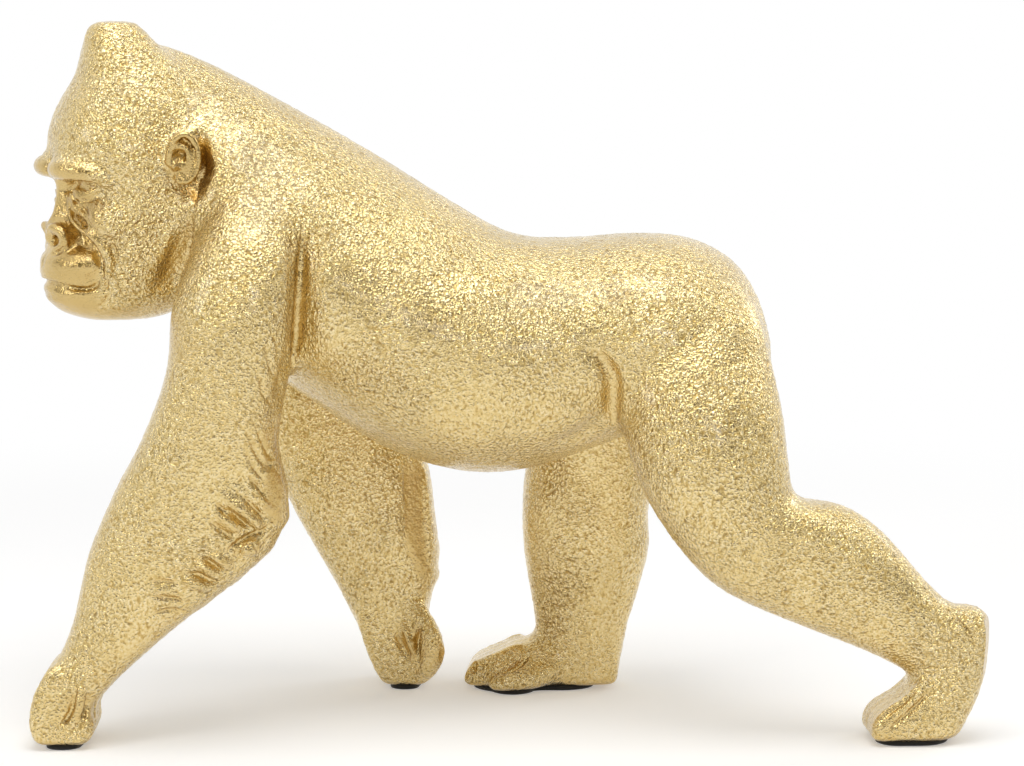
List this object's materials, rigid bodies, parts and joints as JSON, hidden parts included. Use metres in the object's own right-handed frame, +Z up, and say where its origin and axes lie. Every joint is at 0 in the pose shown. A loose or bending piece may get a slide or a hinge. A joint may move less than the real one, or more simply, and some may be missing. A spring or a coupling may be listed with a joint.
{
  "type": "animal figurine",
  "caption": "Gorilla walking on its knuckles, cast in one piece with a pebbled gold finish, standing on felt pads under hands and feet.",
  "frame": {"origin": "on the surface it stands on, under the middle of the figure's box", "axes": "the gorilla walks towards -X, its left side faces -Y, +Z is up"},
  "size_m": [0.4674, 0.1796, 0.348],
  "materials": {
    "gold_finish": "bright metallic gold, pebbled, smoother on face, ears, hands and feet",
    "black_felt": "matte felt"
  },
  "bodies": {
    "root": {"gorilla_body": "gold_finish", "felt_pad_front_left": "black_felt", "felt_pad_front_right": "black_felt", "felt_pad_rear_left": "black_felt", "felt_pad_rear_right": "black_felt"}
  },
  "joints": []
}
